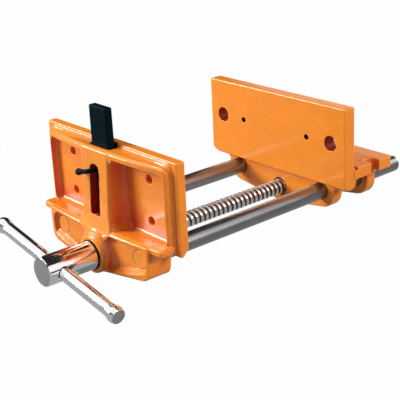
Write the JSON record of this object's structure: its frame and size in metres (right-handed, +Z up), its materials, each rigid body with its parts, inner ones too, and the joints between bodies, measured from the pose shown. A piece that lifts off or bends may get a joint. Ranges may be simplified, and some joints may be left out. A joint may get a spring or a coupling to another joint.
{
  "type": "woodworking bench vise",
  "caption": "Woodworker's vise with wide cast jaws, two guide rods, a lead screw with a sliding bar handle, and a height-adjustable bench dog with a locking lever.",
  "frame": {"origin": "middle of the rear jaw's flat back face, the seat that bears on the edge of the bench", "axes": "+X along the jaws, +Y from the operator into the bench and along the rods and the screw, +Z up"},
  "size_m": [0.2574, 0.5361, 0.2085],
  "materials": {
    "orange_enamel": "glossy orange enamel on cast iron",
    "ground_steel": "ground and polished bar",
    "thread_steel": "bright rolled thread",
    "chrome_plate": "polished chrome plate",
    "blacked_steel": "satin blue-black",
    "bronze": "machined bronze"
  },
  "bodies": {
    "rear_body": {"rear_jaw": "orange_enamel", "lead_nut": "bronze", "nut_screw_left": "blacked_steel", "nut_screw_right": "blacked_steel"},
    "carriage": {"front_jaw": "orange_enamel", "guide_rod_left": "ground_steel", "guide_rod_right": "ground_steel", "rod_pin_left": "thread_steel", "rod_pin_right": "thread_steel"},
    "screw": {"lead_screw": "thread_steel", "handle_hub": "chrome_plate", "hub_pin": "thread_steel", "thrust_washer": "blacked_steel", "retaining_collar": "blacked_steel", "collar_pin": "thread_steel"},
    "handle": {"handle_bar": "chrome_plate", "handle_cap_left": "chrome_plate", "handle_cap_right": "chrome_plate"},
    "dog": {"dog_bar": "blacked_steel", "dog_spring": "thread_steel", "dog_spring_rivet": "thread_steel"},
    "lever": {"dog_lever": "blacked_steel"}
  },
  "joints": [
    {"name": "jaw_slide", "type": "slide", "parent": "rear_body", "child": "carriage", "axis": [0, 1, 0], "range_m": [-0.0447, 0.26]},
    {"name": "screw_turn", "type": "hinge", "parent": "carriage", "child": "screw", "pos_m": [0, -0.2787, -0.0938], "axis": [0, 1, 0], "range_deg": [-2010, 11690]},
    {"name": "handle_slide", "type": "slide", "parent": "screw", "child": "handle", "axis": [0.9845, 0, -0.1754], "range_m": [-0.086, 0.086]},
    {"name": "dog_slide", "type": "slide", "parent": "carriage", "child": "dog", "axis": [0, 0, 1], "range_m": [-0.045, 0.002]},
    {"name": "dog_lever_turn", "type": "hinge", "parent": "dog", "child": "lever", "pos_m": [0, -0.3084, 0.0099], "axis": [0, 1, 0], "range_deg": [-15, 90]}
  ],
  "couplings": [
    {"joint": "jaw_slide", "follows": "screw_turn", "m_per_rad": 0.0012732}
  ]
}
